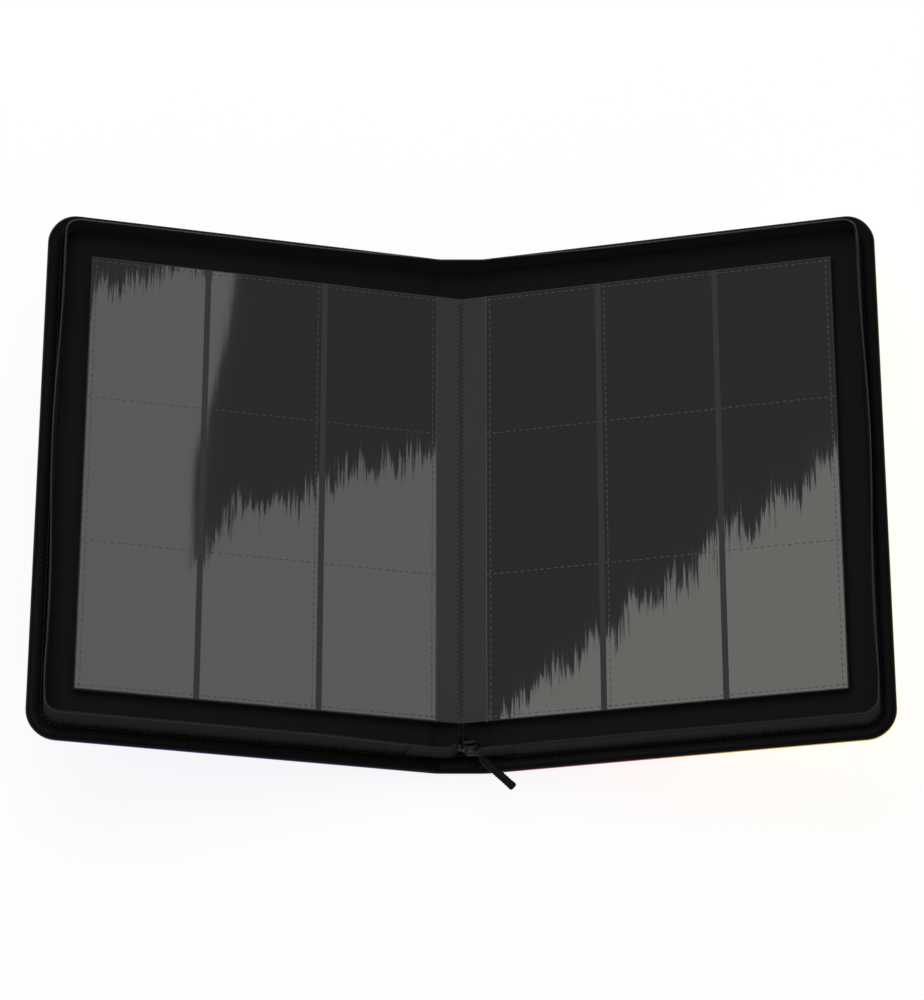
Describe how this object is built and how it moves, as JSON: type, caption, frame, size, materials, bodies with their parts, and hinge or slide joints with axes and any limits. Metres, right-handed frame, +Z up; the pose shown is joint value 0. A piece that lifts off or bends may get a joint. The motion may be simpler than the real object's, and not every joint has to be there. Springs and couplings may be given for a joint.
{
  "type": "trading card binder",
  "caption": "Zip-round padded card binder lying open in a shallow V, with sewn leaves of clear side-loading pockets.",
  "frame": {"origin": "middle of the flat outer face of the spine, on which the open binder rests", "axes": "+X across the open binder to the right-hand cover, +Y to the head of the pages, +Z up"},
  "size_m": [0.505, 0.3555, 0.083],
  "materials": {
    "black_leatherette": "fine-grained black leatherette, soft sheen",
    "foam": "closed-cell foam",
    "grey_board": "pressed grey board",
    "leaf_backing": "black textured polypropylene sheet",
    "lining": "black woven lining",
    "pocket_film": "clear glossy pocket film over black",
    "printed_leatherette": "abstract multicolour print on embossed leatherette",
    "pull_cord": "ribbed black moulded grip",
    "slider_metal": "black lacquered die-cast metal",
    "thread": "black polyester thread",
    "zip_coil": "black nylon coil",
    "zip_tape": "black woven zip tape"
  },
  "bodies": {
    "spine": {"binding_strip": "leaf_backing", "binding_thread": "thread", "spine_board": "grey_board", "spine_edge_rolls": "black_leatherette", "spine_gusset_head": "zip_tape", "spine_gusset_tail": "zip_tape", "spine_lining": "lining", "spine_outer_skin": "printed_leatherette"},
    "left_cover": {"left_cover_board": "grey_board", "left_cover_edge_roll": "black_leatherette", "left_cover_foam": "foam", "left_cover_lining": "lining", "left_cover_outer_skin": "printed_leatherette", "left_zip_coil": "zip_coil", "left_zip_tape": "zip_tape"},
    "right_cover": {"right_cover_board": "grey_board", "right_cover_edge_roll": "black_leatherette", "right_cover_foam": "foam", "right_cover_lining": "lining", "right_cover_outer_skin": "printed_leatherette", "right_zip_coil": "zip_coil", "right_zip_tape": "zip_tape"},
    "left_leaves": {"left_leaf_04": "leaf_backing", "left_leaf_05": "leaf_backing", "left_leaf_06": "leaf_backing", "left_leaf_07": "leaf_backing", "left_leaf_08": "leaf_backing", "left_leaf_09": "leaf_backing", "left_leaf_10": "leaf_backing", "left_pocket_films": "pocket_film"},
    "right_leaves": {"right_leaf_01": "leaf_backing", "right_leaf_02": "leaf_backing", "right_leaf_03": "leaf_backing", "right_leaf_04": "leaf_backing", "right_leaf_05": "leaf_backing", "right_leaf_06": "leaf_backing", "right_leaf_07": "leaf_backing", "right_leaf_08": "leaf_backing", "right_leaf_09": "leaf_backing", "right_leaf_10": "leaf_backing", "right_pocket_films": "pocket_film"},
    "zip_end": {"zip_end_stop": "slider_metal"},
    "zip_slider": {"slider_body": "slider_metal", "slider_crown": "slider_metal"},
    "zip_pull": {"pull_link": "slider_metal", "pull_grip": "pull_cord"},
    "leaf_01_gutter": {"left_leaf_01_gutter": "leaf_backing"},
    "leaf_01": {"left_leaf_01": "leaf_backing", "left_leaf_01_films": "pocket_film"},
    "leaf_02_gutter": {"left_leaf_02_gutter": "leaf_backing"},
    "leaf_02": {"left_leaf_02": "leaf_backing", "left_leaf_02_films": "pocket_film"},
    "leaf_03_gutter": {"left_leaf_03_gutter": "leaf_backing"},
    "leaf_03": {"left_leaf_03": "leaf_backing", "left_leaf_03_films": "pocket_film"}
  },
  "joints": [
    {"name": "left_cover_fold", "type": "hinge", "parent": "spine", "child": "left_cover", "pos_m": [-0.02149, 0, 0.00532], "axis": [0, -1, 0], "range_deg": [-75.44, 14.56]},
    {"name": "right_cover_fold", "type": "hinge", "parent": "spine", "child": "right_cover", "pos_m": [0.02149, 0, 0.00532], "axis": [0, 1, 0], "range_deg": [-75.44, 14.56]},
    {"name": "left_leaves_fold", "type": "hinge", "parent": "spine", "child": "left_leaves", "pos_m": [-0.0172, 0, 0.00912], "axis": [0, -1, 0], "range_deg": [-75.6, 14.8]},
    {"name": "right_leaves_fold", "type": "hinge", "parent": "spine", "child": "right_leaves", "pos_m": [0.0172, 0, 0.00912], "axis": [0, 1, 0], "range_deg": [-75.6, 14.8]},
    {"name": "leaf_01_turn", "type": "hinge", "parent": "spine", "child": "leaf_01_gutter", "pos_m": [0, 0, 0.00975], "axis": [0, 1, 0], "range_deg": [0, 149]},
    {"name": "leaf_01_fold", "type": "hinge", "parent": "leaf_01_gutter", "child": "leaf_01", "pos_m": [-0.0172, 0, 0.00912], "axis": [0, -1, 0], "range_deg": [-75.6, 14.8]},
    {"name": "leaf_02_turn", "type": "hinge", "parent": "spine", "child": "leaf_02_gutter", "pos_m": [0, 0, 0.00975], "axis": [0, 1, 0], "range_deg": [0, 119.4]},
    {"name": "leaf_02_fold", "type": "hinge", "parent": "leaf_02_gutter", "child": "leaf_02", "pos_m": [-0.0172, 0, 0.00912], "axis": [0, -1, 0], "range_deg": [-75.6, 14.8]},
    {"name": "leaf_03_turn", "type": "hinge", "parent": "spine", "child": "leaf_03_gutter", "pos_m": [0, 0, 0.00975], "axis": [0, 1, 0], "range_deg": [0, 89.6]},
    {"name": "leaf_03_fold", "type": "hinge", "parent": "leaf_03_gutter", "child": "leaf_03", "pos_m": [-0.0172, 0, 0.00912], "axis": [0, -1, 0], "range_deg": [-75.6, 14.8]},
    {"name": "zip_end_shift", "type": "slide", "parent": "right_cover", "child": "zip_end", "axis": [0.9679, 0, 0.2514], "range_m": [-0.0052, 0.0262]},
    {"name": "slider_travel", "type": "slide", "parent": "zip_end", "child": "zip_slider", "axis": [0.9679, 0, 0.2514], "range_m": [0, 0.19]},
    {"name": "pull_swing", "type": "hinge", "parent": "zip_slider", "child": "zip_pull", "pos_m": [0.00747, -0.1639, 0.02389], "axis": [-0.2514, 0, 0.9679], "range_deg": [-55, 32]}
  ],
  "couplings": [
    {"joint": "left_leaves_fold", "follows": "left_cover_fold", "ratio": 1},
    {"joint": "right_leaves_fold", "follows": "right_cover_fold", "ratio": 1},
    {"joint": "leaf_01_fold", "follows": "left_cover_fold", "ratio": 1},
    {"joint": "leaf_02_fold", "follows": "left_cover_fold", "ratio": 1},
    {"joint": "leaf_02_turn", "follows": "leaf_01_turn", "ratio": 0.8},
    {"joint": "leaf_03_fold", "follows": "left_cover_fold", "ratio": 1},
    {"joint": "leaf_03_turn", "follows": "leaf_01_turn", "ratio": 0.6},
    {"joint": "zip_end_shift", "follows": "right_cover_fold", "m_per_rad": -0.019747}
  ]
}
